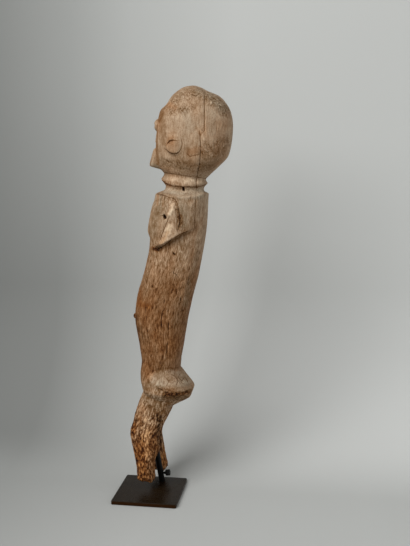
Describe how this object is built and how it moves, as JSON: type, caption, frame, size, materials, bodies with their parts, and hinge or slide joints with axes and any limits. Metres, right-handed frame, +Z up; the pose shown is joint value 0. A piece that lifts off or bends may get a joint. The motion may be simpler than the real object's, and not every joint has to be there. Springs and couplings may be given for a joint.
{
  "type": "carved wooden standing figure on a metal stand",
  "caption": "Weathered carved wooden standing figure with a large head and ringed neck, arms broken off, held up by a leaning rod on a flat square plate.",
  "frame": {"origin": "centre of the square plate's underside, where it rests on the surface", "axes": "+Z up; the figure faces -Y and its own left side is +X"},
  "size_m": [0.1278, 0.181, 0.6348],
  "materials": {
    "weathered_wood": "dry, matte, weathered and insect-eaten hardwood with a grey-brown skin",
    "plate_finish": "satin dark brown lacquer",
    "black_steel": "satin black"
  },
  "bodies": {
    "root": {"figure": "weathered_wood", "base_plate": "plate_finish", "post": "black_steel", "clamp_screw": "black_steel"}
  },
  "joints": []
}
